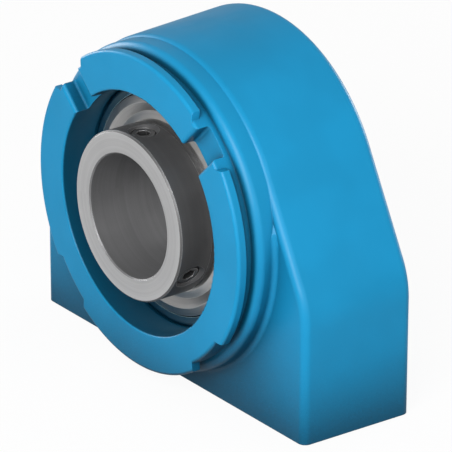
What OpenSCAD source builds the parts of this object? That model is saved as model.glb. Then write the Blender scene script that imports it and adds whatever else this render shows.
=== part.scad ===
// Pillow block bearing: an insert ball bearing with set screw locking, held in a
// moulded housing with a short base, an arched back and a slotted snap collar.
// The finished part stands on Z = 0 with its shaft along Y and its collar facing -Y.

/* [Housing body] */
// Height of the shaft above the base
shaft_height = 42.9; // [41:0.1:48]
// Width of the base along its front edge
base_width = 100.8; // [97:0.2:112]
// Height at which the sloping shoulders meet the upright sides
shoulder_height = 33.8; // [29:0.1:35]
// Radius of the arched top at the front face
crown_radius = 40.1; // [39.8:0.1:43]
// Radius that blends a shoulder into its side
shoulder_radius = 20; // [10:0.5:22]
// Distance of the front face ahead of the bearing centre
front_face = 8.5; // [6.5:0.1:9.2]
// Distance of the rear face behind the bearing centre
rear_face = 22; // [19:0.5:28]
// Mould draft of the outer walls, which grow towards the rear
draft_angle = 2.5; // [0.5:0.1:3.5]
// Rounding of the front and rear edges of the body
edge_radius = 2; // [0.8:0.1:2.4]

/* [Collar] */
// Radius of the round boss that carries the collar
boss_radius = 39.6; // [39.2:0.1:39.8]
// Distance of the boss face ahead of the bearing centre
boss_front = 13.4; // [12.4:0.1:13.8]
// Rounding of the outer edge of the boss
boss_rounding = 2; // [0.8:0.1:2.4]
// Concave fillet at the foot of the boss
foot_fillet = 1.2; // [0.4:0.1:1.5]
// Radius of the collar behind its snap lip
neck_radius = 37; // [36.4:0.1:37.4]
// Distance of the collar face ahead of the bearing centre
collar_front = 18.4; // [18:0.1:19.4]
// Radius of the snap lip
lip_radius = 38.8; // [38.3:0.1:39.2]
// Width of the snap lip along the shaft
lip_width = 2.3; // [1.4:0.1:2.8]
// Rounding of the outer front edges of the collar and its lip
rim_rounding = 0.8; // [0.3:0.1:1]
// Bore of the collar in front of the bearing seat
collar_bore_radius = 29.4; // [29.2:0.05:29.8]
// Rounding of the mouth of the collar and of the rear opening
mouth_rounding = 0.5; // [0.2:0.1:1]
// Width of each gap in the snap lip, measured at the neck
gap_width = 12.6; // [10.5:0.1:15]
// Flare of the walls of each gap, away from its centre line
gap_flare = 42; // [20:1:50]
// Width of the two slots through the collar
slot_width = 8; // [6:0.1:9]
// Depth of the slots from the collar face
slot_depth = 3.6; // [2.4:0.1:4.2]
// Rounding of the upper edges of the slots
slot_rounding = 1; // [0.3:0.1:1.2]
// Fillet between the floor and walls of the slots
slot_fillet = 0.7; // [0.3:0.1:1]

/* [Base inserts] */
// Distance of each fixing screw from the end of the base
bolt_end_distance = 12.3; // [10:0.1:14]
// Radius of the threaded inserts
insert_radius = 8; // [7:0.1:8.5]
// Length of the threaded inserts
insert_length = 20; // [16:0.5:21]
// Length of the full-width flange at each end of an insert
insert_flange = 4; // [2:0.5:6]
// Radius of the insert hole at the thread crests
insert_hole_radius = 5.1; // [4.2:0.05:5.3]
// Depth of the insert hole
insert_hole_depth = 16.5; // [13:0.5:17]
// Depth of the waist that anchors an insert in the housing
insert_waist = 0.8; // [0.4:0.1:1.2]
// Chamfer at the mouth of the insert hole
insert_chamfer = 0.4; // [0.2:0.1:1]

/* [Inner ring] */
// Radius of the shaft bore
bore_radius = 15; // [14:0.05:15.4]
// Distance of the inner ring's front end ahead of the bearing centre
ring_front = 20.8; // [20.2:0.1:23]
// Distance of the inner ring's rear end behind the bearing centre
ring_rear = 17.3; // [14:0.1:18.5]
// Outer radius of the clamping end that holds the set screws
clamp_radius = 20.5; // [20.2:0.05:20.9]
// Length of the clamping end
clamp_length = 9; // [8.2:0.1:9.6]
// Outer radius of the inner ring beside the balls
inner_land_radius = 19.9; // [19.7:0.05:20]
// Chamfer of the outer edges of the inner ring
ring_chamfer = 0.4; // [0.1:0.05:0.6]
// Chamfer of the ends of the shaft bore
bore_chamfer = 0.3; // [0.1:0.05:0.6]

/* [Set screws] */
// Radius of the set screws
screw_radius = 3; // [2.5:0.1:3.2]
// Length of the set screws
screw_length = 4.5; // [4:0.1:4.7]
// Distance of the set screws from the front end of the inner ring
screw_inset = 4.7; // [4.4:0.1:4.9]
// Angle between the two set screws
screw_spread = 120; // [60:5:120]
// Depth of a set screw below the surface of the ring
screw_recess = 0.7; // [0.6:0.05:0.8]
// Width across the flats of the hexagon socket
socket_width = 3; // [2:0.1:3.2]
// Depth of the hexagon socket
socket_depth = 2.2; // [1.2:0.1:2.4]
// Chamfer at the mouth of a screw hole and at the end of a screw
screw_chamfer = 0.4; // [0.2:0.05:0.5]

/* [Balls and raceways] */
// Diameter of the balls
ball_diameter = 9.525; // [9:0.005:9.6]
// Radius of the circle on which the balls run
pitch_radius = 23.1; // [23:0.05:23.2]
// Radius of a raceway groove divided by the ball diameter
groove_ratio = 0.52; // [0.51:0.005:0.53]
// Running clearance between each ball and its raceways
race_clearance = 0.03; // [0.01:0.005:0.06]
// Clearance between each ball and its cage pocket
pocket_clearance = 0.1; // [0.05:0.01:0.2]

/* [Outer ring] */
// Radius of the spherical outside of the bearing
sphere_radius = 31; // [30.9:0.05:31.4]
// Width of the outer ring
outer_width = 19; // [18.8:0.1:19.4]
// Rounding of the outer ring's edges
outer_rounding = 1.4; // [0.6:0.1:1.6]
// Inner radius of the outer ring beside the balls
outer_land_radius = 26.4; // [26:0.1:26.6]
// Inner radius of the outer ring at its two faces
outer_mouth_radius = 27; // [26.9:0.05:27.2]
// Gap between the bearing and its seat in the housing
seat_clearance = 0.02; // [0.01:0.005:0.05]

/* [Cage, seals and flingers] */
// Radial width of the cage, halved by the circle of the ball centres
cage_width = 3.6; // [3:0.1:4.2]
// Distance of the cage's solid side behind the ball centres
cage_back = 5.9; // [5.5:0.1:6.1]
// Distance of the cage's open side ahead of the ball centres
cage_front = 1.8; // [1.2:0.1:2.4]
// Distance of each seal's inner side from the ball centres
seal_start = 6.7; // [6.5:0.05:6.9]
// Thickness of the seals at their rim
seal_thickness = 1.4; // [1:0.05:1.5]
// Radius of the seal rim in the outer ring
seal_radius = 27.6; // [27.3:0.05:27.7]
// Running gap between a seal lip and the inner ring
seal_gap = 0.08; // [0.05:0.01:0.1]
// Thickness of the flinger sheet
flinger_thickness = 0.8; // [0.5:0.05:0.9]
// Distance of a flinger's hub face from the ball centres
flinger_face = 9.9; // [9.8:0.05:10.4]
// Width of a flinger's flat hub round the inner ring
flinger_hub_width = 0.9; // [0.6:0.05:1.3]
// Width of the slope from the hub down to the flinger's valley
flinger_valley_width = 1.7; // [1.2:0.1:2.2]
// Depth of the flinger's valley below its hub face
flinger_valley_depth = 0.65; // [0.2:0.05:0.65]
// Width of the slope from the flinger's ridge out to its rim
flinger_rim_width = 2; // [1.4:0.1:2.6]
// Height of the flinger's ridge above its hub face
flinger_ridge_height = 0.45; // [0.2:0.05:0.8]
// Depth of the flinger's rim below its hub face
flinger_rim_depth = 0.1; // [0:0.05:0.4]
// Gap between a flinger's rim and the outer ring
flinger_gap = 0.3; // [0.2:0.05:0.6]

/* [Hidden] */
$fn = 120;

// The nine balls have a node each, so their number is fixed
ball_count = 9;
// Overshoot of cutting shapes past the faces that they open
over = 1;
// Height by which the round stretches of the body's wall stand proud of its flats,
// so that the two cross cleanly
round_relief = 0.02;

// Outline of the body, seen along the shaft
side_x = base_width / 2;
shoulder_y = shoulder_height - shaft_height;
slope_angle = atan2(shoulder_y, side_x) + acos(crown_radius / norm([side_x, shoulder_y]));
blend_x = side_x - shoulder_radius;
blend_y = shoulder_y - shoulder_radius * tan(slope_angle / 2);
slope_length = blend_x * sin(slope_angle) - blend_y * cos(slope_angle);
body_depth = front_face + rear_face;
// Level down to which the walls are drawn before the base is cut flat
base_cut = -shaft_height - over;
body_middle = (front_face - rear_face) / 2;

// Collar
core_radius = collar_bore_radius - 2 * over;
neck_foot = front_face - over;
foot_fade_angle = 45;
foot_fade_reach = 4 * over;
gap_angles = [45, 135, 225, 315];
slot_angles = [45, 135];
gap_radius = sqrt(neck_radius ^ 2 - (gap_width / 2) ^ 2);
gap_start = neck_radius - 2 * over;
gap_end = lip_radius + over;
seat_radius = sphere_radius + seat_clearance;

// Ball raceways
ball_radius = ball_diameter / 2;
groove_radius = groove_ratio * ball_diameter;
inner_groove_centre = pitch_radius - ball_radius - race_clearance + groove_radius;
outer_groove_centre = pitch_radius + ball_radius + race_clearance - groove_radius;

// Outer ring edges: a small circle that touches the side face and the sphere
outer_half = outer_width / 2;
rounding_z = outer_half - outer_rounding;
rounding_r = sqrt((sphere_radius - outer_rounding) ^ 2 - rounding_z ^ 2);
rounding_end = rounding_z * sphere_radius / (sphere_radius - outer_rounding);

// Set screws
screw_z = ring_front - screw_inset;
screw_top = clamp_radius - screw_recess;
thread_clearance = 0.03;
screw_angles = [90, 90 - screw_spread];

// Turns a shape modelled with its shaft along Z, seen from the collar side,
// into the standing position
module stand() {
    translate([0, 0, shaft_height])
        rotate([90, 0, 0])
            children();
}

// Takes the sharp corner off an outline that has its corner at [0, 0] and its
// material towards -X and -Y
module round_over(r) {
    translate([-r, -r])
        difference() {
            square(r + over);
            circle(r);
        }
}

// Section of the drafted wall: X is the distance outside the front outline and
// Y the distance along the shaft, with the body's inside reaching back by reach
module wall_section(reach) {
    s = sin(draft_angle);
    c = cos(draft_angle);
    front_x = -edge_radius * (1 - s) / c;
    rear_x = ((body_depth - edge_radius) * s - edge_radius) / c;
    translate([0, front_face])
        mirror([0, 1]) {
            polygon([
                [-reach, 0],
                [front_x, 0],
                [front_x + edge_radius * c, edge_radius * (1 - s)],
                [rear_x + edge_radius * c, body_depth - edge_radius * (1 + s)],
                [rear_x, body_depth],
                [-reach, body_depth]
            ]);
            translate([front_x, edge_radius])
                circle(edge_radius);
            translate([rear_x, body_depth - edge_radius])
                circle(edge_radius);
        }
}

// Wall section turned about the origin at the given outline radius
module turned_wall(radius, reach) {
    rotate_extrude()
        translate([radius + round_relief, 0])
            wall_section(reach + round_relief);
}

// Straight wall, carried from the X axis towards -Y
module straight_wall(distance, length, reach) {
    translate([distance, 0, 0])
        rotate([90, 0, 0])
            linear_extrude(length)
                wall_section(reach);
}

// Arched body, made by carrying the wall section round its outline
module body_block() {
    reach = shoulder_radius - over;
    turned_wall(crown_radius, reach);
    for (side = [0, 1])
        mirror([side, 0, 0]) {
            rotate(slope_angle)
                straight_wall(crown_radius, slope_length, reach);
            translate([blend_x, blend_y, 0])
                turned_wall(shoulder_radius, reach);
            translate([0, blend_y, 0])
                straight_wall(side_x, blend_y - base_cut, reach);
        }
    translate([0, 0, -rear_face])
        linear_extrude(body_depth)
            body_core();
}

// Middle of the body, drawn far enough outwards to overlap the carried walls
module body_core() {
    grow = 2 * over;
    arch = crown_radius - shoulder_radius + grow;
    side = blend_x + grow;
    bend = blend_y + grow * tan(slope_angle / 2);
    circle(arch);
    polygon([
        [side, base_cut],
        [side, bend],
        [arch * cos(slope_angle), arch * sin(slope_angle)],
        [-arch * cos(slope_angle), arch * sin(slope_angle)],
        [-side, bend],
        [-side, base_cut]
    ]);
}

// Boss and neck in one turned profile
module collar_profile() {
    difference() {
        translate([core_radius, neck_foot])
            square([boss_radius - core_radius, boss_front - neck_foot]);
        translate([boss_radius, boss_front])
            round_over(boss_rounding);
    }
    difference() {
        translate([core_radius, neck_foot])
            square([neck_radius - core_radius, collar_front - neck_foot]);
        translate([neck_radius, collar_front])
            round_over(rim_rounding);
    }
}

// Ring that fills the inside corner at the foot of the boss
module foot_ring() {
    rotate_extrude()
        difference() {
            translate([boss_radius - over, neck_foot])
                square([foot_fillet + over, foot_fillet + over]);
            translate([boss_radius + foot_fillet, front_face + foot_fillet])
                circle(foot_fillet);
        }
}

// Foot of the boss. It fades out where the front edge of the slopes starts to
// round, and the crown has none.
module boss_foot() {
    slope_top = crown_radius * sin(slope_angle);
    difference() {
        foot_ring();
        for (side = [0, 1])
            mirror([side, 0, 0])
                rotate(slope_angle)
                    translate([crown_radius - edge_radius, 0, front_face])
                        rotate([0, -foot_fade_angle, 0])
                            translate([0, -slope_top, -foot_fade_reach])
                                cube([foot_fade_reach, 2 * slope_top, 2 * foot_fade_reach]);
        translate([-crown_radius, slope_top, 0])
            cube([2 * crown_radius, crown_radius, collar_front]);
    }
}

// Snap lip round the front of the neck
module lip_ring() {
    rotate_extrude()
        difference() {
            translate([neck_radius - over, collar_front - lip_width])
                square([lip_radius - neck_radius + over, lip_width]);
            translate([lip_radius, collar_front])
                round_over(rim_rounding);
        }
}

// One flared gap, cut through the lip on the +X side
module lip_gap() {
    inner = gap_width / 2 + (gap_start - gap_radius) * tan(gap_flare);
    outer = gap_width / 2 + (gap_end - gap_radius) * tan(gap_flare);
    translate([0, 0, collar_front - lip_width - over])
        linear_extrude(lip_width + 2 * over)
            polygon([[gap_start, -inner], [gap_end, -outer], [gap_end, outer], [gap_start, inner]]);
}

// Outline of a slot across the collar, with its floor on the X axis
module slot_outline() {
    difference() {
        translate([-slot_width / 2, 0])
            square([slot_width, slot_depth + over]);
        for (side = [0, 1])
            mirror([side, 0])
                translate([slot_width / 2, 0])
                    difference() {
                        translate([-slot_fillet, -over])
                            square(slot_fillet + over);
                        translate([-slot_fillet, slot_fillet])
                            circle(slot_fillet);
                    }
    }
    for (side = [0, 1])
        mirror([side, 0])
            difference() {
                translate([0, slot_depth - slot_rounding])
                    square([slot_width / 2 + slot_rounding, slot_rounding + over]);
                translate([slot_width / 2 + slot_rounding, slot_depth - slot_rounding])
                    circle(slot_rounding);
            }
}

// One slot, cut from the bore to the outside of the collar on the +X side
module collar_slot() {
    translate([lip_radius + over, 0, collar_front - slot_depth])
        rotate([0, -90, 0])
            rotate(-90)
                linear_extrude(lip_radius + over - core_radius)
                    slot_outline();
}

// Opening ahead of or behind the seat, with a rounded mouth at the given height
module opening(height) {
    rotate_extrude() {
        square([collar_bore_radius, height + over]);
        difference() {
            translate([0, height - mouth_rounding])
                square([collar_bore_radius + mouth_rounding, mouth_rounding + over]);
            translate([collar_bore_radius + mouth_rounding, height - mouth_rounding])
                circle(mouth_rounding);
        }
    }
}

// Spherical seat and the openings on both sides of it
module seat_space() {
    sphere(seat_radius);
    opening(collar_front);
    mirror([0, 0, 1])
        opening(rear_face);
}

module housing() {
    color([0.17, 0.6, 0.8]) {
        stand()
            difference() {
                union() {
                    body_block();
                    rotate_extrude()
                        collar_profile();
                    boss_foot();
                    difference() {
                        lip_ring();
                        for (a = gap_angles)
                            rotate(a)
                                lip_gap();
                    }
                }
                for (a = slot_angles)
                    rotate(a)
                        collar_slot();
                seat_space();
                translate([-base_width, -shaft_height - base_width, -base_width])
                    cube([2 * base_width, base_width, 2 * base_width]);
                for (side = [-1, 1])
                    insert_place(side)
                        insert_shape();
            }
    }
}

// Place of a base insert, upright in the bearing's own frame
module insert_place(side) {
    translate([side * (side_x - bolt_end_distance), -shaft_height, body_middle])
        rotate([-90, 0, 0])
            children();
}

// Outside of a base insert, with the waist that anchors it
module insert_shape() {
    rotate_extrude()
        polygon([
            [0, 0],
            [insert_radius, 0],
            [insert_radius, insert_flange],
            [insert_radius - insert_waist, insert_flange + insert_waist],
            [insert_radius - insert_waist, insert_length - insert_flange - insert_waist],
            [insert_radius, insert_length - insert_flange],
            [insert_radius, insert_length],
            [0, insert_length]
        ]);
}

module base_insert(side) {
    color([0.7, 0.7, 0.68])
        stand()
            insert_place(side)
                difference() {
                    insert_shape();
                    translate([0, 0, -over])
                        cylinder(r = insert_hole_radius, h = insert_hole_depth + over);
                    translate([0, 0, -over])
                        cylinder(
                            r1 = insert_hole_radius + insert_chamfer + over,
                            r2 = insert_hole_radius,
                            h = insert_chamfer + over
                        );
                }
}

module base_insert_left() {
    base_insert(-1);
}

module base_insert_right() {
    base_insert(1);
}

// Hole for a set screw, with its chamfered mouth
module screw_hole(a) {
    rotate(a)
        translate([0, 0, screw_z])
            rotate([0, 90, 0]) {
                cylinder(r = screw_radius, h = clamp_radius + over);
                translate([0, 0, clamp_radius - 2 * screw_chamfer])
                    cylinder(
                        r1 = screw_radius,
                        r2 = screw_radius + 2 * screw_chamfer + over,
                        h = 2 * screw_chamfer + over
                    );
            }
}

module inner_ring() {
    clamp_end = ring_front - clamp_length;
    color([0.42, 0.42, 0.43])
        stand()
            difference() {
                rotate_extrude()
                    difference() {
                        polygon([
                            [bore_radius, -ring_rear + bore_chamfer],
                            [bore_radius + bore_chamfer, -ring_rear],
                            [inner_land_radius - ring_chamfer, -ring_rear],
                            [inner_land_radius, -ring_rear + ring_chamfer],
                            [inner_land_radius, clamp_end],
                            [clamp_radius, clamp_end],
                            [clamp_radius, ring_front - ring_chamfer],
                            [clamp_radius - ring_chamfer, ring_front],
                            [bore_radius + bore_chamfer, ring_front],
                            [bore_radius, ring_front - bore_chamfer]
                        ]);
                        translate([inner_groove_centre, 0])
                            circle(groove_radius);
                    }
                for (a = screw_angles)
                    screw_hole(a);
            }
}

module set_screw(a) {
    color([0.2, 0.2, 0.21])
        stand()
            rotate(a)
                translate([screw_top, 0, screw_z])
                    rotate([0, -90, 0])
                        difference() {
                            rotate_extrude()
                                set_screw_profile();
                            translate([0, 0, -over])
                                cylinder(r = socket_width / sqrt(3), h = socket_depth + over, $fn = 6);
                        }
}

// Half section of a set screw: head end at Y = 0, cup point at its length
module set_screw_profile() {
    radius = screw_radius - thread_clearance;
    cup_radius = radius - 2 * screw_chamfer;
    polygon([
        [0, 0],
        [radius - screw_chamfer, 0],
        [radius, screw_chamfer],
        [radius, screw_length - 2 * screw_chamfer],
        [cup_radius, screw_length],
        [cup_radius - screw_chamfer, screw_length],
        [0, screw_length - 2 * screw_chamfer]
    ]);
}

module set_screw_1() {
    set_screw(screw_angles[0]);
}

module set_screw_2() {
    set_screw(screw_angles[1]);
}

// Half section of the outer ring
module outer_ring_profile() {
    difference() {
        union() {
            translate([outer_land_radius, -outer_half])
                square([rounding_r - outer_land_radius, outer_width]);
            intersection() {
                circle(sphere_radius);
                translate([outer_land_radius, -rounding_end])
                    square([sphere_radius, 2 * rounding_end]);
            }
            for (side = [-1, 1])
                translate([rounding_r, side * rounding_z])
                    circle(outer_rounding);
        }
        translate([outer_groove_centre, 0])
            circle(groove_radius);
        for (side = [0, 1])
            mirror([0, side]) {
                translate([outer_land_radius - over, seal_start])
                    square([seal_radius - outer_land_radius + over, seal_thickness]);
                translate([outer_land_radius - over, seal_start])
                    square([outer_mouth_radius - outer_land_radius + over, outer_half - seal_start + over]);
            }
    }
}

module outer_ring() {
    color([0.5, 0.5, 0.51])
        stand()
            rotate_extrude()
                outer_ring_profile();
}

// Ball number i, counted from the +X side
module ball(i) {
    color([0.8, 0.8, 0.82])
        stand()
            rotate(i * 360 / ball_count)
                translate([pitch_radius, 0, 0])
                    sphere(ball_radius);
}

module ball_1() {
    ball(0);
}

module ball_2() {
    ball(1);
}

module ball_3() {
    ball(2);
}

module ball_4() {
    ball(3);
}

module ball_5() {
    ball(4);
}

module ball_6() {
    ball(5);
}

module ball_7() {
    ball(6);
}

module ball_8() {
    ball(7);
}

module ball_9() {
    ball(8);
}

// Crown cage: a ring with a snap pocket for each ball, open towards the front
module cage() {
    color([0.85, 0.8, 0.65])
        stand()
            difference() {
                rotate_extrude()
                    translate([pitch_radius - cage_width / 2, -cage_back])
                        square([cage_width, cage_back + cage_front]);
                for (i = [0 : ball_count - 1])
                    rotate(i * 360 / ball_count)
                        translate([pitch_radius, 0, 0])
                            sphere(ball_radius + pocket_clearance);
            }
}

// Half section of a seal: a rim in the outer ring and a web that tapers to a lip
module seal_profile() {
    lip_radius_inner = inner_land_radius + seal_gap;
    web = seal_thickness / 2;
    polygon([
        [seal_radius, seal_start],
        [seal_radius, seal_start + seal_thickness],
        [lip_radius_inner + web, seal_start + seal_thickness],
        [lip_radius_inner, seal_start + web],
        [lip_radius_inner + web, seal_start + web],
        [outer_land_radius - web, seal_start + web],
        [outer_land_radius, seal_start]
    ]);
}

module seal_front() {
    color([0.1, 0.1, 0.1])
        stand()
            rotate_extrude()
                seal_profile();
}

module seal_rear() {
    color([0.1, 0.1, 0.1])
        stand()
            mirror([0, 0, 1])
                rotate_extrude()
                    seal_profile();
}

// Half section of a flinger, pressed from sheet
module flinger_profile() {
    hub_radius = inner_land_radius + flinger_hub_width;
    rim_radius = outer_mouth_radius - flinger_gap;
    outline = [
        [inner_land_radius, flinger_face],
        [hub_radius, flinger_face],
        [hub_radius + flinger_valley_width, flinger_face - flinger_valley_depth],
        [rim_radius - flinger_rim_width, flinger_face + flinger_ridge_height],
        [rim_radius, flinger_face - flinger_rim_depth]
    ];
    back = [for (i = [len(outline) - 1 : -1 : 0]) outline[i] - [0, flinger_thickness]];
    polygon(concat(outline, back));
}

module flinger_front() {
    color([0.75, 0.75, 0.76])
        stand()
            rotate_extrude()
                flinger_profile();
}

module flinger_rear() {
    color([0.75, 0.75, 0.76])
        stand()
            mirror([0, 0, 1])
                rotate_extrude()
                    flinger_profile();
}

housing();
base_insert_left();
base_insert_right();
outer_ring();
inner_ring();
ball_1();
ball_2();
ball_3();
ball_4();
ball_5();
ball_6();
ball_7();
ball_8();
ball_9();
cage();
seal_front();
seal_rear();
flinger_front();
flinger_rear();
set_screw_1();
set_screw_2();
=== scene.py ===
"""Looks of a pillow block bearing: a moulded housing with a snap collar, round an insert ball bearing.

The shaft runs along Y with the collar at the front, towards -Y, and the underside of the base is at Z = 0.
"""

import math

import bpy
from mathutils import Matrix, Vector


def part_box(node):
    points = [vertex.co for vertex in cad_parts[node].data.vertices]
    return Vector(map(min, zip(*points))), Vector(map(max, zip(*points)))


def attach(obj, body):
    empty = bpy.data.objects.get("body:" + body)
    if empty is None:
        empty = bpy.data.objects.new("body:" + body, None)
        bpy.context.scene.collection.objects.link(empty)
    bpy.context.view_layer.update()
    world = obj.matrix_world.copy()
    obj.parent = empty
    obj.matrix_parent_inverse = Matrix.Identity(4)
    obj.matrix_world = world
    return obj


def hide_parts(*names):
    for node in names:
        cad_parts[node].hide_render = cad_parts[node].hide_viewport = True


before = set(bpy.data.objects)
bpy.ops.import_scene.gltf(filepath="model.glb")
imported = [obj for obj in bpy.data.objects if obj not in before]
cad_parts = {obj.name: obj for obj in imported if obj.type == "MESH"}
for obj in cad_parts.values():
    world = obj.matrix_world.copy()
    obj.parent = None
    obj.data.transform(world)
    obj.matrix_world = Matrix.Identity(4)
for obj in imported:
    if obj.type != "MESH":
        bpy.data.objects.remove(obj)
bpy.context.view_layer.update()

MM = 0.001

# Sizes and places of the solids, in millimetres
SHAFT_HEIGHT = 42.9
RING_END_DEPTH = 0.4
BORE_EDGE_RADIUS = 15.45

SCREW_ANGLES = {"1": 90, "2": -30}
SCREW_PLACE_Y = -16.1
SCREW_TOP = 19.8
SCREW_RADIUS = 2.97
SCREW_LENGTH = 4.5
SCREW_CHAMFER = 0.4
SCREW_CUP_DEPTH = 0.8
SCREW_PITCH = 1
SCREW_THREAD_DEPTH = 0.55
SOCKET_WIDTH = 3
SOCKET_DEPTH = 2.2
SOCKET_RIM = 0.32

INSERT_PLACES = {"left": -38.1, "right": 38.1}
INSERT_PLACE_Y = 6.75
INSERT_RADIUS = 8
INSERT_LENGTH = 20
INSERT_EDGE = 0.15
INSERT_FLANGE = 4
INSERT_WAIST = 0.8
INSERT_HOLE_RADIUS = 5.1
INSERT_HOLE_DEPTH = 16.5
INSERT_MOUTH_DEPTH = 0.85
INSERT_MOUTH_RIM = 0.3
INSERT_PITCH = 1.75
INSERT_THREAD_DEPTH = 0.85


# Node trees

def set_inputs(tree, node, inputs):
    """Each input linked to a socket or given a value."""
    for name, value in inputs.items():
        if isinstance(value, bpy.types.NodeSocket):
            tree.links.new(value, node.inputs[name])
        else:
            node.inputs[name].default_value = value


def add_node(tree, kind, inputs=None, **settings):
    """A node with its settings made, and then its inputs."""
    node = tree.nodes.new(kind)
    for name, value in settings.items():
        setattr(node, name, value)
    set_inputs(tree, node, inputs or {})
    return node


def add_group(tree, group, values):
    """The outputs of a node group, placed in a tree with its own values."""
    return add_node(tree, "ShaderNodeGroup", values, node_tree=group).outputs


def add_math(tree, operation, *values, clamp=False):
    """The result of one operation on numbers or sockets."""
    inputs = dict(enumerate(values))
    return add_node(tree, "ShaderNodeMath", inputs, operation=operation, use_clamp=clamp).outputs[0]


def add_range(tree, value, low, high):
    """The value, eased from 0 at low to 1 at high."""
    inputs = {"Value": value, "From Min": low, "From Max": high}
    return add_node(tree, "ShaderNodeMapRange", inputs, interpolation_type="SMOOTHSTEP").outputs[0]


def add_mix(tree, factor, first, second):
    """Two colours mixed, each a socket, or red, green, blue and alpha."""
    inputs = {0: factor, 6: first, 7: second}
    return add_node(tree, "ShaderNodeMix", inputs, data_type="RGBA").outputs[2]


def add_place(tree):
    """Where a point of the surface is on the object."""
    return tree.nodes.new("ShaderNodeTexCoord").outputs["Object"]


def add_noise(tree, place, size, detail=2.0, roughness=0.5):
    """Noise from 0 to 1, in patches of about this size."""
    scale = add_math(tree, "DIVIDE", 1.0, size)
    inputs = {"Vector": place, "Scale": scale, "Detail": detail, "Roughness": roughness}
    return add_node(tree, "ShaderNodeTexNoise", inputs).outputs["Fac"]


# Effects that the materials share, each a node group, with its lengths in metres

WHITE = (1, 1, 1, 1)


def new_group(name, inputs, outputs):
    """An empty node group, its input sockets, and a function that joins a value to an output."""
    group = bpy.data.node_groups.new(name, "ShaderNodeTree")
    for label, value in inputs.items():
        kind = "Color" if isinstance(value, tuple) else "Float"
        socket = group.interface.new_socket(name=label, in_out="INPUT", socket_type="NodeSocket" + kind)
        socket.default_value = value
    for label, kind in outputs.items():
        group.interface.new_socket(name=label, in_out="OUTPUT", socket_type="NodeSocket" + kind)
    entry = group.nodes.new("NodeGroupInput").outputs
    leaving = group.nodes.new("NodeGroupOutput").inputs
    return group, entry, lambda label, value: group.links.new(value, leaving[label])


def soft_edge_group():
    """Edges rounded off a little, and a mask of where they are."""
    group, entry, send = new_group(
        "soft edges", {"Radius": 0.0003}, {"Edge": "Float", "Normal": "Vector"}
    )
    rounded = add_node(group, "ShaderNodeBevel", {"Radius": entry["Radius"]}, samples=6).outputs[0]
    sharp = group.nodes.new("ShaderNodeNewGeometry").outputs["Normal"]
    likeness = add_node(
        group, "ShaderNodeVectorMath", {0: rounded, 1: sharp}, operation="DOT_PRODUCT"
    ).outputs["Value"]
    flat = 0.995
    turned = 0.9
    send("Edge", add_range(group, likeness, flat, turned))
    send("Normal", rounded)
    return group


def moulded_grain_group():
    """Skin of moulded plastic: a fine orange peel on slow waves, which also give its change of tone."""
    group, entry, send = new_group(
        "moulded grain", {"Grain Size": 0.0006, "Wave Size": 0.02}, {"Height": "Float", "Tone": "Float"}
    )
    peel_share = 0.25
    place = add_place(group)
    peel = add_noise(group, place, entry["Grain Size"], detail=3.0)
    waves = add_noise(group, place, entry["Wave Size"])
    send("Height", add_math(group, "ADD", add_math(group, "MULTIPLY", peel, peel_share), waves))
    send("Tone", waves)
    return group


def turned_mark_group():
    """Fine rings that a lathe or a grinding wheel leaves round the shaft, among broader streaks."""
    group, entry, send = new_group(
        "turned marks", {"Spacing": 0.00025}, {"Height": "Float", "Streak": "Float"}
    )
    wander = 0.00004
    fine_to_broad = 0.12
    axes = add_node(group, "ShaderNodeSeparateXYZ", {"Vector": add_place(group)}).outputs
    rise = add_math(group, "SUBTRACT", axes["Z"], SHAFT_HEIGHT * MM)
    flat = add_node(group, "ShaderNodeCombineXYZ", {"X": axes["X"], "Y": 0.0, "Z": rise}).outputs[0]
    radius = add_node(group, "ShaderNodeVectorMath", {0: flat}, operation="LENGTH").outputs["Value"]
    turn = add_math(group, "MULTIPLY", add_math(group, "ARCTAN2", rise, axes["X"]), wander)
    rings = add_node(group, "ShaderNodeCombineXYZ", {"X": radius, "Y": axes["Y"], "Z": turn}).outputs[0]
    fine = add_noise(group, rings, entry["Spacing"], detail=3.0, roughness=0.7)
    broad = add_noise(group, rings, add_math(group, "DIVIDE", entry["Spacing"], fine_to_broad))
    send("Height", fine)
    send("Streak", add_math(group, "MULTIPLY", add_math(group, "ADD", fine, broad), 0.5))
    return group


def handling_group():
    """Smudges, and faint scuffs drawn out one way, where a part has been picked up and put down."""
    group, entry, send = new_group("handling", {"Size": 0.012}, {"Smudge": "Float", "Scuff": "Float"})
    place = add_place(group)
    drawn = add_node(
        group, "ShaderNodeMapping", {"Vector": place, "Rotation": (0.3, 0.5, 0.8), "Scale": (1, 12, 6)}
    ).outputs[0]
    smudges = add_noise(group, place, entry["Size"], detail=4.0, roughness=0.6)
    scuffs = add_noise(group, drawn, entry["Size"], detail=5.0, roughness=0.7)
    smudge_range = (0.42, 0.68)
    scuff_range = (0.62, 0.72)
    send("Smudge", add_range(group, smudges, *smudge_range))
    send("Scuff", add_range(group, scuffs, *scuff_range))
    return group


def painted_shading_group():
    """Painted shade in corners, in recesses and near the ground, darkest where ambient occlusion finds a
    spot most hidden.
    """
    group, entry, send = new_group(
        "painted shading", {"Reach": 0.006, "Start": 0.75, "End": 0.25}, {"Corner": "Float"}
    )
    # What ambient occlusion finds here darkens the colour as painted shade.
    openness = add_node(
        group, "ShaderNodeAmbientOcclusion", {"Distance": entry["Reach"]}, samples=8
    ).outputs["AO"]
    send("Corner", add_range(group, openness, entry["Start"], entry["End"]))
    return group


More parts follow.
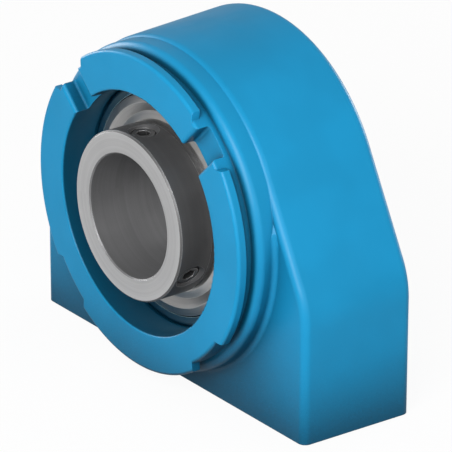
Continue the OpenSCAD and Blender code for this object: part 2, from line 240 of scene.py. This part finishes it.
def colour_with_painted_light_group():
    """A clean colour and a deeper one, mixed by tone, then paler along edges with wear and a painted
    highlight, and darkened in corners with painted shade.
    """
    colours = {"Clean": WHITE, "Deep": WHITE, "Worn and Highlit": WHITE, "Shaded": WHITE}
    masks = {"Tone": 1.0, "Edge": 0.0, "Corner": 0.0}
    group, entry, send = new_group("colour with wear and painted light", colours | masks, {"Colour": "Color"})
    tone_range = (0.35, 0.65)
    tone = add_range(group, entry["Tone"], *tone_range)
    skin = add_mix(group, tone, entry["Deep"], entry["Clean"])
    # Edges take wear and a painted highlight, and corners take painted shade.
    worn = add_mix(group, entry["Edge"], skin, entry["Worn and Highlit"])
    send("Colour", add_mix(group, entry["Corner"], worn, entry["Shaded"]))
    return group


soft_edges = soft_edge_group()
moulded_grain = moulded_grain_group()
turned_marks = turned_mark_group()
handling = handling_group()
painted_shading = painted_shading_group()
colour_with_painted_light = colour_with_painted_light_group()


# Materials

def new_material(name):
    """A material with a bare shader, its tree and that shader."""
    material = bpy.data.materials.new(name)
    material.use_nodes = True
    tree = material.node_tree
    tree.nodes.clear()
    shader = tree.nodes.new("ShaderNodeBsdfPrincipled")
    end = tree.nodes.new("ShaderNodeOutputMaterial")
    tree.links.new(shader.outputs[0], end.inputs["Surface"])
    return material, tree, shader


def colour_steps(colour, deep_share, edge_lift, edge_grey, corner_shade):
    """What a clean colour turns to where its tone is deeper, where its edges are worn and given a painted
    highlight, and where painted shade darkens it.
    """
    return {
        "Clean": (*colour, 1),
        "Deep": (*(part * deep_share for part in colour), 1),
        # Along edges: wear and a painted highlight. In corners: painted shade.
        "Worn and Highlit": (*(min(1, part * edge_lift + edge_grey) for part in colour), 1),
        "Shaded": (*(part * corner_shade for part in colour), 1),
    }


def add_roughness(tree, roughness, *marks):
    """A roughness raised by each mark, times that mark's strength."""
    for mark, strength in marks:
        rise = add_math(tree, "MULTIPLY", mark, strength)
        roughness = add_math(tree, "ADD", roughness, rise, clamp=True)
    return roughness


def add_relief(tree, height, normal, strength, distance):
    """A normal tilted by the slopes of a height."""
    inputs = {"Height": height, "Normal": normal, "Strength": strength, "Distance": distance}
    return add_node(tree, "ShaderNodeBump", inputs).outputs[0]


def moulded_plastic(name, colour, roughness, grain_size=0.0005, relief=0.00002, corner_shade=0.45):
    """Injection moulded plastic with an orange peel, paler along its edges with wear and a painted
    highlight, and darker in its corners and near the ground with painted shade.
    """
    material, tree, shader = new_material(name)
    edges = add_group(tree, soft_edges, {"Radius": 0.0003})
    grain = add_group(tree, moulded_grain, {"Grain Size": grain_size, "Wave Size": 0.018})
    touched = add_group(tree, handling, {"Size": 0.014})
    # Painted shade: ambient occlusion within 3 cm darkens the colour in recesses, in corners and near the
    # ground.
    painted_shading_out = add_group(tree, painted_shading, {"Reach": 0.03, "Start": 0.97, "End": 0.4})
    # Edges are paler partly from wear and partly as a painted highlight.
    edge_wear_and_highlight = 0.5
    masks = {
        "Tone": grain["Tone"],
        "Edge": add_math(tree, "MULTIPLY", edges["Edge"], edge_wear_and_highlight),
        "Corner": painted_shading_out["Corner"],
    }
    colours = colour_steps(
        colour, deep_share=0.93, edge_lift=1.25, edge_grey=0.01, corner_shade=corner_shade
    )
    finish = {
        "Base Color": add_group(tree, colour_with_painted_light, colours | masks)["Colour"],
        "Roughness": add_roughness(
            tree, roughness, (touched["Smudge"], 0.08), (touched["Scuff"], 0.1)
        ),
        "Normal": add_relief(tree, grain["Height"], edges["Normal"], strength=0.6, distance=relief),
        "Specular IOR Level": 0.25,
    }
    set_inputs(tree, shader, finish)
    return material


def turned_steel(
    name,
    colour,
    roughness,
    spacing=0.00025,
    relief=0.000004,
    metallic=1.0,
    edge_lift=1.5,
    corner_shade=0.5,
):
    """Steel turned or ground round the shaft, brighter along its edges with wear and a painted highlight,
    and darker in its corners with painted shade.
    """
    material, tree, shader = new_material(name)
    edges = add_group(tree, soft_edges, {"Radius": 0.0002})
    marks = add_group(tree, turned_marks, {"Spacing": spacing})
    touched = add_group(tree, handling, {"Size": 0.01})
    # Painted shade: ambient occlusion within 4 mm darkens the colour in corners.
    painted_shading_out = add_group(tree, painted_shading, {"Reach": 0.004})
    # Edges are brighter partly from wear and partly as a painted highlight.
    edge_wear_and_highlight = 0.7
    painted_shading_share = 0.6
    masks = {
        "Tone": marks["Streak"],
        "Edge": add_math(tree, "MULTIPLY", edges["Edge"], edge_wear_and_highlight),
        "Corner": add_math(tree, "MULTIPLY", painted_shading_out["Corner"], painted_shading_share),
    }
    colours = colour_steps(
        colour, deep_share=0.86, edge_lift=edge_lift, edge_grey=0.02, corner_shade=corner_shade
    )
    finish = {
        "Base Color": add_group(tree, colour_with_painted_light, colours | masks)["Colour"],
        "Roughness": add_roughness(
            tree, roughness, (touched["Smudge"], 0.1), (marks["Streak"], 0.08)
        ),
        "Normal": add_relief(tree, marks["Height"], edges["Normal"], strength=0.7, distance=relief),
        "Metallic": metallic,
    }
    set_inputs(tree, shader, finish)
    return material


# The housing's corner shade of 0.2 is strong painted shade in its recesses and at its foot.
housing_plastic = moulded_plastic(
    "moulded_blue_plastic", (0.01, 0.31, 0.6), roughness=0.34, corner_shade=0.2
)
cage_plastic = moulded_plastic(
    "glass_filled_cage_plastic", (0.62, 0.5, 0.3), roughness=0.45, relief=0.00004
)
seal_rubber = moulded_plastic(
    "seal_rubber", (0.02, 0.019, 0.018), roughness=0.6, grain_size=0.0003, relief=0.00003
)
ground_steel = turned_steel("ground_ring_steel", (0.73, 0.73, 0.735), roughness=0.32)
# The blue-green tint is a painted reflection of the blue housing on the steel; the corner shade is painted
# shade.
race_steel_painted_blue = turned_steel("honed_race_steel_painted_blue", (0.46, 0.66, 0.72), roughness=0.04, corner_shade=0.2)
# A darker copy of the ring steel for the inner ring's turned surfaces: painted dark reflection. Its strong
# edge lift is wear and a painted highlight.
ring_steel_painted_dark = turned_steel(
    "ring_steel_with_painted_dark_reflection", (0.13, 0.13, 0.132), roughness=0.42, metallic=0.55, edge_lift=5
)
# Painted dark reflection in the bore, a little lighter than on the turned surfaces.
bore_steel_painted_dark = turned_steel("honed_bore_steel_with_painted_dark_reflection", (0.24, 0.24, 0.245), roughness=0.42, metallic=0.6)
pressed_steel = turned_steel(
    "pressed_flinger_steel", (0.73, 0.72, 0.705), roughness=0.34, spacing=0.0005
)
polished_steel = turned_steel(
    "polished_ball_steel", (0.75, 0.75, 0.76), roughness=0.07, spacing=0.0006, relief=0.000001
)
# The corner shade of 0.02 is painted shade that blackens the socket; the edge lift is wear and a painted
# highlight.
screw_steel = turned_steel(
    "black_screw_steel",
    (0.2, 0.2, 0.202),
    roughness=0.28,
    spacing=0.0003,
    metallic=0.7,
    edge_lift=4.5,
    corner_shade=0.02,
)
insert_steel = turned_steel(
    "plated_insert_steel", (0.6, 0.58, 0.52), roughness=0.28, spacing=0.0004
)


# Solids that keep their own shape and take a finish

NODE_FINISH = {
    "housing": housing_plastic,
    "outer_ring": race_steel_painted_blue,
    "cage": cage_plastic,
    "seal_front": seal_rubber,
    "seal_rear": seal_rubber,
    "flinger_front": pressed_steel,
    "flinger_rear": pressed_steel,
}


def finish_solids():
    """Polished steel for the balls, and for the other solids what NODE_FINISH gives them."""
    for name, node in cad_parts.items():
        finish = polished_steel if name.startswith("ball_") else NODE_FINISH.get(name)
        if finish:
            node.data.materials.clear()
            node.data.materials.append(finish)


def finish_inner_ring():
    """Ground end faces, a honed bore, and turned surfaces, as light and dark copies of one steel: the bore
    and the turned surfaces carry painted dark reflection.
    """
    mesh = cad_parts["inner_ring"].data
    mesh.materials.clear()
    for finish in (ring_steel_painted_dark, ground_steel, bore_steel_painted_dark):
        mesh.materials.append(finish)
    ground_slot = 1
    bore_slot = 2
    flat_normal = 0.9
    front, rear = (corner[1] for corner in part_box("inner_ring"))
    for face in mesh.polygons:
        at_end = min(face.center.y - front, rear - face.center.y) < RING_END_DEPTH * MM
        if at_end and abs(face.normal.y) > flat_normal:
            face.material_index = ground_slot
        elif math.hypot(face.center.x, face.center.z - SHAFT_HEIGHT * MM) < BORE_EDGE_RADIUS * MM:
            face.material_index = bore_slot


# Threaded pieces, lofted in millimetres from rings of points round their own upright axis

RING_POINTS = 72
RING_TURNS = [2 * math.pi * i / RING_POINTS for i in range(RING_POINTS)]
SHARP_ANGLE = math.radians(35)

# Shares of a thread's pitch: half the flat at its root, and one sloping side
THREAD_HALF_ROOT = 0.08
THREAD_SIDE = 0.34
THREAD_RINGS_PER_PITCH = 14


def loft(name, rings, place, finish):
    """A closed solid from rings of points that run from one end point to the other."""
    points = [rings[0]]
    for ring in rings[1:-1]:
        points += ring
    points.append(rings[-1])
    end = len(points) - 1
    last_ring = end - RING_POINTS
    around = [(i, (i + 1) % RING_POINTS) for i in range(RING_POINTS)]
    faces = [(0, 1 + b, 1 + a) for a, b in around]
    for low in range(1, last_ring, RING_POINTS):
        high = low + RING_POINTS
        faces += [(low + a, low + b, high + b, high + a) for a, b in around]
    faces += [(last_ring + a, last_ring + b, end) for a, b in around]
    mesh = bpy.data.meshes.new(name)
    mesh.from_pydata([place @ (Vector(point) * MM) for point in points], [], faces)
    mesh.validate()
    mesh.shade_smooth()
    mesh.set_sharp_from_angle(angle=SHARP_ANGLE)
    mesh.materials.append(finish)
    piece = bpy.data.objects.new(name, mesh)
    bpy.context.scene.collection.objects.link(piece)
    return piece


def make_ring(radii, height):
    """A ring of points, with a radius for each turn."""
    return [(r * math.cos(a), r * math.sin(a), height) for r, a in zip(radii, RING_TURNS)]


def round_ring(radius, height):
    """A ring on a circle."""
    return make_ring([radius] * RING_POINTS, height)


def hexagon_ring(width, height):
    """A ring on a hexagon of that width across its flats."""
    return make_ring(
        [width / 2 / math.cos(a % (math.pi / 3) - math.pi / 6) for a in RING_TURNS], height
    )


def thread_depth(height, turn, pitch):
    """Depth of a thread's groove, from 0 on its crest to 1 at its root."""
    phase = (height / pitch - turn / (2 * math.pi)) % 1
    return min(1, max(0, 1 - (abs(phase - 0.5) - THREAD_HALF_ROOT) / THREAD_SIDE))


def thread_rings(crest, root, start, end, pitch, widest):
    """Rings along a thread; widest gives the largest radius that a height allows."""
    steps = round(abs(end - start) / pitch * THREAD_RINGS_PER_PITCH)
    rings = []
    for step in range(steps + 1):
        height = start + (end - start) * step / steps
        radii = [crest + (root - crest) * thread_depth(height, a, pitch) for a in RING_TURNS]
        rings.append(make_ring([min(radius, widest(height)) for radius in radii], height))
    return rings


def make_set_screw(number, angle):
    """Socket set screw with a cup point, its head end outwards and at a height of 0."""
    socket_floor = -SOCKET_DEPTH
    head_edge = SCREW_RADIUS - SCREW_CHAMFER
    root = SCREW_RADIUS - SCREW_THREAD_DEPTH
    cup_edge = SCREW_RADIUS - SCREW_CUP_DEPTH
    cup_floor = -SCREW_LENGTH + SCREW_CUP_DEPTH

    def widest(height):
        """The thread is cut back by the head's chamfer and by the slope to the cup."""
        return min(head_edge - height, cup_edge + (height + SCREW_LENGTH))

    # From the drilled cone below the socket, up its flats to the rim of the head
    rings = [
        (0, 0, socket_floor - 0.4),
        round_ring(0.25, socket_floor - 0.33),
        hexagon_ring(SOCKET_WIDTH - 0.1, socket_floor),
        hexagon_ring(SOCKET_WIDTH, socket_floor + 0.05),
        hexagon_ring(SOCKET_WIDTH, -0.1),
        round_ring(SOCKET_WIDTH / 2 + SOCKET_RIM, 0),
        round_ring(head_edge - 0.05, 0),
    ]
    # Then down the thread, and round the edge of the cup to its middle
    rings += thread_rings(SCREW_RADIUS, root, 0, -SCREW_LENGTH, SCREW_PITCH, widest)
    rings += [
        round_ring(cup_edge - SCREW_CHAMFER, -SCREW_LENGTH),
        round_ring(0.3, cup_floor - 0.05),
        (0, 0, cup_floor),
    ]
    outwards = Matrix.Rotation(math.radians(90 - angle), 4, "Y")
    place = Matrix.Translation((0, SCREW_PLACE_Y * MM, SHAFT_HEIGHT * MM)) @ outwards
    place = place @ Matrix.Translation((0, 0, SCREW_TOP * MM))
    piece = loft("threaded_screw_" + number, rings[::-1], place, screw_steel)
    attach(piece, "locking_screw_" + number)
    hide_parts("set_screw_" + number)


def make_base_insert(side, x):
    """Threaded steel insert, moulded into the base with its mouth flush below at a height of 0."""
    hole_top = INSERT_HOLE_DEPTH - 0.02
    root = INSERT_HOLE_RADIUS + INSERT_THREAD_DEPTH
    waist = INSERT_RADIUS - INSERT_WAIST
    fade_slope = 1.2

    def widest(height):
        """The last millimetre of the hole is plain, and the thread fades out below it."""
        return INSERT_HOLE_RADIUS + max(0, INSERT_HOLE_DEPTH - 1 - height) * fade_slope

    # From the top of the blind hole, down its thread to the mouth
    rings = [(0, 0, hole_top + 0.6), round_ring(INSERT_HOLE_RADIUS - 0.4, hole_top)]
    rings += thread_rings(
        INSERT_HOLE_RADIUS, root, hole_top - 0.2, INSERT_MOUTH_DEPTH + 0.05, INSERT_PITCH, widest
    )
    # Then out at the mouth, and up over the lower flange, the waist and the upper flange
    rings += [
        round_ring(root, INSERT_MOUTH_DEPTH),
        round_ring(root + INSERT_MOUTH_RIM, 0),
        round_ring(INSERT_RADIUS - INSERT_EDGE, 0),
        round_ring(INSERT_RADIUS, INSERT_EDGE),
        round_ring(INSERT_RADIUS, INSERT_FLANGE),
        round_ring(waist, INSERT_FLANGE + INSERT_WAIST),
        round_ring(waist, INSERT_LENGTH - INSERT_FLANGE - INSERT_WAIST),
        round_ring(INSERT_RADIUS, INSERT_LENGTH - INSERT_FLANGE),
        round_ring(INSERT_RADIUS, INSERT_LENGTH),
        (0, 0, INSERT_LENGTH),
    ]
    place = Matrix.Translation((x * MM, INSERT_PLACE_Y * MM, 0))
    piece = loft("threaded_insert_" + side, rings, place, insert_steel)
    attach(piece, "block")
    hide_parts("base_insert_" + side)


# Studio, in metres and watts

EVEN_LIGHT = 0.18
REFLECTED_SHARE = 0.3
FLOOR_HALF_WIDTH = 4
FLOOR_DROP = 0.0002
FLOOR_GLOW = 0.93
FLOOR_IN_BOUNCES = (0.3, 0.3, 0.3, 1)
FLOOR_IN_VIEW = (0.95, 0.95, 0.95, 1)

# For each lamp: the way to it from the bearing, its distance, its width and its power
LAMPS = {
    "front_softbox": ((0.5, -0.7, 0.44), 0.5, 0.3, 2.5),
    "right_softbox": ((0.95, -0.1, 0.3), 0.6, 0.35, 0.6),
    "rear_softbox": ((-0.05, 0.97, 0.2), 0.7, 0.3, 2.4),
    "left_softbox": ((-0.97, -0.1, 0.2), 0.7, 0.3, 2.2),
}

# Angles in degrees, lens and sensor in millimetres, and the rest in metres
CAMERA_AZIMUTH = 52.4697
CAMERA_ELEVATION = 23.8887
CAMERA_ROLL = 0.1119
CAMERA_LENS = 330.53
CAMERA_SENSOR = 36
CAMERA_PLACE = (0.70904, -0.53683, 0.42887)
CAMERA_NEAR = 0.05
CAMERA_FAR = 20


def add_seen(tree):
    """1 where something is seen straight or through glass, and less where it is seen reflected."""
    path = tree.nodes.new("ShaderNodeLightPath").outputs
    straight = add_math(tree, "MAXIMUM", path["Is Camera Ray"], path["Is Transmission Ray"])
    reflected = add_math(tree, "MULTIPLY", path["Is Glossy Ray"], REFLECTED_SHARE)
    return add_math(tree, "MAXIMUM", straight, reflected)


def make_floor():
    """Pale floor, nearly white where it is seen, that keeps some of the part's shadow."""
    half = FLOOR_HALF_WIDTH
    mesh = bpy.data.meshes.new("studio_floor")
    corners = [(x * half, y * half, -FLOOR_DROP) for x, y in ((-1, -1), (1, -1), (1, 1), (-1, 1))]
    mesh.from_pydata(corners, [], [(0, 1, 2, 3)])
    floor = bpy.data.objects.new("studio_floor", mesh)
    bpy.context.scene.collection.objects.link(floor)
    material, tree, shader = new_material("studio_floor_paint")
    seen = add_seen(tree)
    paint = add_mix(tree, seen, FLOOR_IN_BOUNCES, FLOOR_IN_VIEW)
    set_inputs(tree, shader, {"Base Color": paint, "Roughness": 0.9, "Specular IOR Level": 0.0})
    glow = add_node(tree, "ShaderNodeEmission", {"Color": WHITE, "Strength": 1.0})
    share = add_math(tree, "MULTIPLY", seen, FLOOR_GLOW)
    both = add_node(tree, "ShaderNodeMixShader", {0: share, 1: shader.outputs[0], 2: glow.outputs[0]})
    end = next(node for node in tree.nodes if node.type == "OUTPUT_MATERIAL")
    tree.links.new(both.outputs[0], end.inputs["Surface"])
    mesh.materials.append(material)


def make_world():
    """Even light all round, with a white background where it is seen."""
    world = bpy.data.worlds.new("studio")
    world.use_nodes = True
    tree = world.node_tree
    tree.nodes.clear()
    even = add_node(tree, "ShaderNodeBackground", {"Color": WHITE, "Strength": EVEN_LIGHT})
    white = add_node(tree, "ShaderNodeBackground", {"Color": WHITE, "Strength": 1.0})
    lights = {0: add_seen(tree), 1: even.outputs[0], 2: white.outputs[0]}
    both = add_node(tree, "ShaderNodeMixShader", lights)
    end = tree.nodes.new("ShaderNodeOutputWorld")
    tree.links.new(both.outputs[0], end.inputs["Surface"])
    bpy.context.scene.world = world


def make_lamp(name, direction, distance, width, power):
    """Soft square lamp that faces the bearing from the given direction."""
    lamp = bpy.data.lights.new(name, "AREA")
    lamp.shape = "SQUARE"
    lamp.size = width
    lamp.energy = power
    holder = bpy.data.objects.new(name, lamp)
    towards = Vector(direction).normalized()
    holder.location = Vector((0, 0, SHAFT_HEIGHT * MM)) + towards * distance
    holder.rotation_euler = towards.to_track_quat("Z", "Y").to_euler()
    bpy.context.scene.collection.objects.link(holder)


def make_camera():
    """Camera that views the part as the photograph does."""
    turn, rise, roll = (math.radians(a) for a in (CAMERA_AZIMUTH, CAMERA_ELEVATION, CAMERA_ROLL))
    back = Vector(
        (math.cos(rise) * math.sin(turn), -math.cos(rise) * math.cos(turn), math.sin(rise))
    )
    level = Vector((math.cos(turn), math.sin(turn), 0))
    upright = back.cross(level)
    right = level * math.cos(roll) + upright * math.sin(roll)
    up = upright * math.cos(roll) - level * math.sin(roll)
    camera = bpy.data.cameras.new("camera")
    camera.lens = CAMERA_LENS
    camera.sensor_width = CAMERA_SENSOR
    camera.clip_start = CAMERA_NEAR
    camera.clip_end = CAMERA_FAR
    holder = bpy.data.objects.new("camera", camera)
    facing = Matrix((right, up, back)).transposed().to_4x4()
    holder.matrix_world = Matrix.Translation(CAMERA_PLACE) @ facing
    bpy.context.scene.collection.objects.link(holder)
    bpy.context.scene.camera = holder


make_camera()
make_world()
make_floor()
for name, placing in LAMPS.items():
    make_lamp(name, *placing)
finish_solids()
finish_inner_ring()
for number, angle in SCREW_ANGLES.items():
    make_set_screw(number, angle)
for side, x in INSERT_PLACES.items():
    make_base_insert(side, x)

scene = bpy.context.scene
scene.view_settings.view_transform = "Standard"
